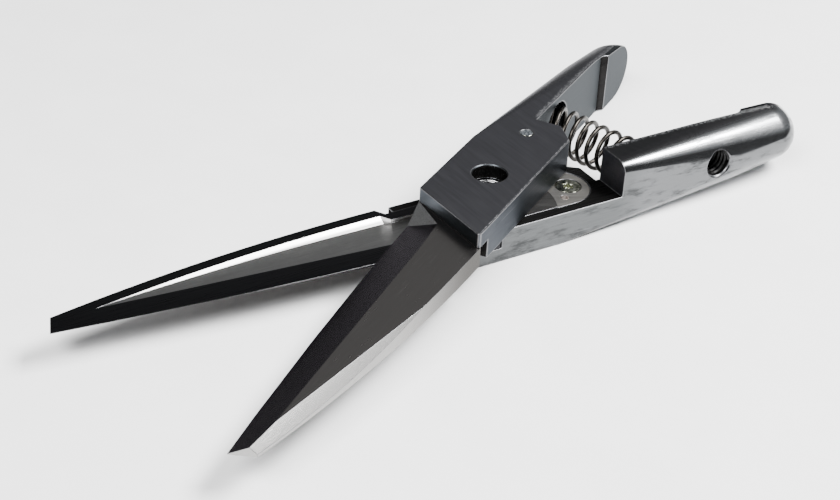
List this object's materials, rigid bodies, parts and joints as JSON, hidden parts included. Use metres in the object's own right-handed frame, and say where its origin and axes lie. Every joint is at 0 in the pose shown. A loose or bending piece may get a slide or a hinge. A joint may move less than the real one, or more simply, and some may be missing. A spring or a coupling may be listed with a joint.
{
  "type": "metal shear",
  "caption": "Straight-blade hand shear for sheet metal, with screwed-on blades, a hollow pivot and a coil spring that holds the handles open.",
  "frame": {"origin": "on the pivot axis, in the cutting plane between the two blades", "axes": "+Z along the pivot, out of the upper lever's head; +X along the lower lever, towards the end of its handle"},
  "size_m": [0.252, 0.1417, 0.0218],
  "materials": {
    "upper_lever_steel": "dark ground steel, brushed across the head",
    "lower_lever_steel": "polished steel on the outside, ground dark on the flat faces",
    "blade_steel": "ground and honed tool steel",
    "pivot_steel": "turned steel",
    "spring_steel": "oil-tempered spring wire",
    "zinc_plated_steel": "zinc plate with a yellow tint",
    "pin_steel": "hardened steel pin, ground flush"
  },
  "bodies": {
    "lower_half": {"lower_lever": "lower_lever_steel", "lower_blade": "blade_steel", "lower_blade_screw": "zinc_plated_steel", "lower_locating_pin": "pin_steel", "pivot_sleeve": "pivot_steel", "pivot_screw": "pivot_steel", "pivot_washer": "spring_steel", "handle_spring": "spring_steel"},
    "upper_half": {"upper_lever": "upper_lever_steel", "upper_blade": "blade_steel", "upper_blade_screw": "zinc_plated_steel", "upper_locating_pin": "pin_steel"}
  },
  "joints": [
    {"name": "pivot", "type": "hinge", "parent": "lower_half", "child": "upper_half", "pos_m": [0, 0, 0], "axis": [0, 0, 1], "range_deg": [-32.3, 6], "stiffness_Nm_per_rad": 7.5, "deforming": ["handle_spring"]}
  ]
}
